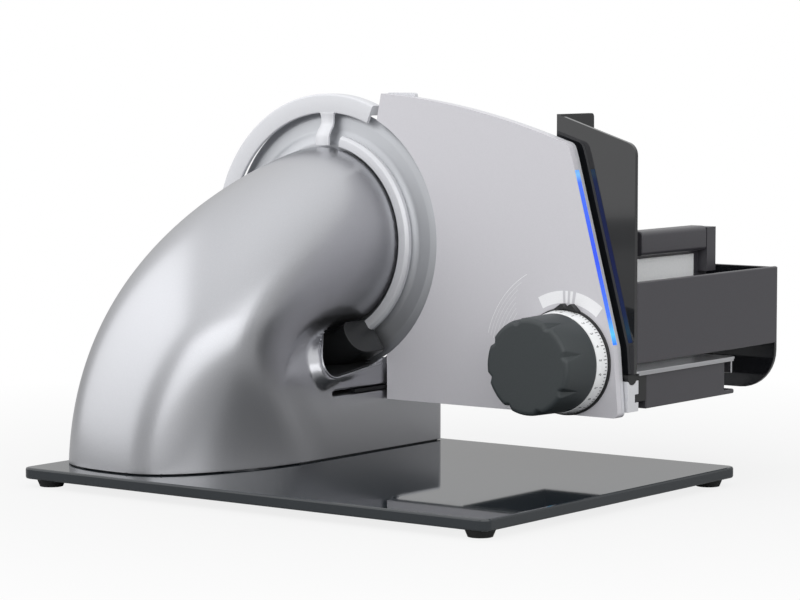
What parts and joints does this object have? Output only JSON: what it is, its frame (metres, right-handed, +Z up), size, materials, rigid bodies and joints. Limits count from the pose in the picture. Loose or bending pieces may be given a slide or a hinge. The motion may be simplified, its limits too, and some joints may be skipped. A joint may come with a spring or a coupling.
{
  "type": "electric food slicer",
  "caption": "Electric food slicer: glass base, elbow motor housing, round blade with guard, sliding stop plate with knob, food carriage with remnant holder.",
  "frame": {"origin": "on the ground, under the middle of the overall box", "axes": "+Z up, +Y from the motor side to the food side, X along the carriage travel with the blade at -X"},
  "size_m": [0.3624, 0.387, 0.2422],
  "materials": {
    "smoked_glass": "polished float glass, smoked",
    "rubber": "matt",
    "silver_paint": "satin metallic",
    "grey_panel": "satin",
    "satin_guard": "satin anodised",
    "blade_steel": "turned and ground",
    "stainless_sheet": "brushed",
    "aluminium": "satin",
    "gloss_black": "semi gloss moulded",
    "matt_black": "fine grain",
    "anthracite": "soft matt",
    "white_plastic": "satin",
    "pale_panel": "satin",
    "light_pipe": "lit blue light pipe",
    "brass": "machined",
    "nylon": "moulded nylon",
    "machined_steel": "machined"
  },
  "bodies": {
    "stand": {"base_plate": "smoked_glass", "foot_front_left": "rubber", "foot_front_right": "rubber", "foot_rear_left": "rubber", "foot_rear_right": "rubber", "motor_housing": "silver_paint", "slice_deflector": "matt_black", "floor_plate": "machined_steel", "base_screw_1": "machined_steel", "base_screw_2": "machined_steel", "base_screw_3": "machined_steel", "base_screw_4": "machined_steel", "gearbox_cover": "matt_black", "gear_plate": "aluminium", "cover_screw_1": "machined_steel", "cover_screw_2": "machined_steel", "cover_screw_3": "machined_steel", "front_bush": "brass", "rear_bush": "brass", "intermediate_pin": "machined_steel", "motor_can": "machined_steel", "motor_end_cap": "matt_black", "blade_guard": "satin_guard", "guide_bracket": "aluminium", "guide_rod_left": "machined_steel", "guide_rod_right": "machined_steel", "thickness_screw": "machined_steel", "guide_rail": "aluminium", "rail_screw_left": "machined_steel", "rail_screw_right": "machined_steel", "switch_body": "matt_black", "cord_gland": "matt_black"},
    "blade_set": {"blade": "blade_steel", "blade_shaft": "machined_steel", "blade_cap": "matt_black", "drive_gear": "nylon"},
    "intermediate": {"intermediate_gear": "nylon"},
    "rotor": {"motor_rotor": "machined_steel", "motor_pinion": "brass"},
    "stop": {"plate_cover": "grey_panel", "stop_plate": "aluminium", "led_strip": "light_pipe", "plate_carrier": "machined_steel", "pointer_ring": "matt_black"},
    "knob_set": {"knob": "anthracite", "scale_ring": "white_plastic", "knob_spindle": "machined_steel"},
    "nut": {"nut_gear": "brass"},
    "carriage": {"rail_slider": "matt_black", "carriage_base": "gloss_black", "table_plate": "stainless_sheet", "carriage_back": "gloss_black", "hand_frame": "gloss_black"},
    "pusher": {"pusher_frame": "gloss_black", "pusher_panel": "pale_panel", "pusher_grip": "gloss_black"},
    "button": {"switch_button": "matt_black"}
  },
  "joints": [
    {"name": "blade_spin", "type": "hinge", "parent": "stand", "child": "blade_set", "pos_m": [-0.08681, 0.0075, 0.1467], "axis": [0, 1, 0], "continuous": true},
    {"name": "idler_spin", "type": "hinge", "parent": "stand", "child": "intermediate", "pos_m": [-0.1053, -0.0185, 0.10705], "axis": [0, 1, 0], "continuous": true},
    {"name": "motor_spin", "type": "hinge", "parent": "stand", "child": "rotor", "pos_m": [-0.1053, -0.0585, 0.07705], "axis": [0, 1, 0], "continuous": true},
    {"name": "plate_slide", "type": "slide", "parent": "stand", "child": "stop", "axis": [0, -1, 0], "range_m": [0, 0.02]},
    {"name": "knob_turn", "type": "hinge", "parent": "stop", "child": "knob_set", "pos_m": [0.09919, -0.0185, 0.0779], "axis": [0, 1, 0], "range_deg": [0, 288]},
    {"name": "nut_turn", "type": "hinge", "parent": "stop", "child": "nut", "pos_m": [0.09919, 0.011, 0.0589], "axis": [0, 1, 0], "range_deg": [-288, 0]},
    {"name": "carriage_slide", "type": "slide", "parent": "stand", "child": "carriage", "axis": [-1, 0, 0], "range_m": [0, 0.17]},
    {"name": "pusher_slide", "type": "slide", "parent": "carriage", "child": "pusher", "axis": [0, -1, 0], "range_m": [0, 0.04]},
    {"name": "switch_press", "type": "slide", "parent": "stand", "child": "button", "axis": [0, -1, 0], "range_m": [0, 0.0025], "stiffness_N_per_m": 300}
  ],
  "couplings": [
    {"joint": "idler_spin", "follows": "blade_spin", "ratio": -4},
    {"joint": "motor_spin", "follows": "blade_spin", "ratio": 16},
    {"joint": "knob_turn", "follows": "plate_slide", "rad_per_m": 251.33},
    {"joint": "nut_turn", "follows": "plate_slide", "rad_per_m": -251.33}
  ]
}
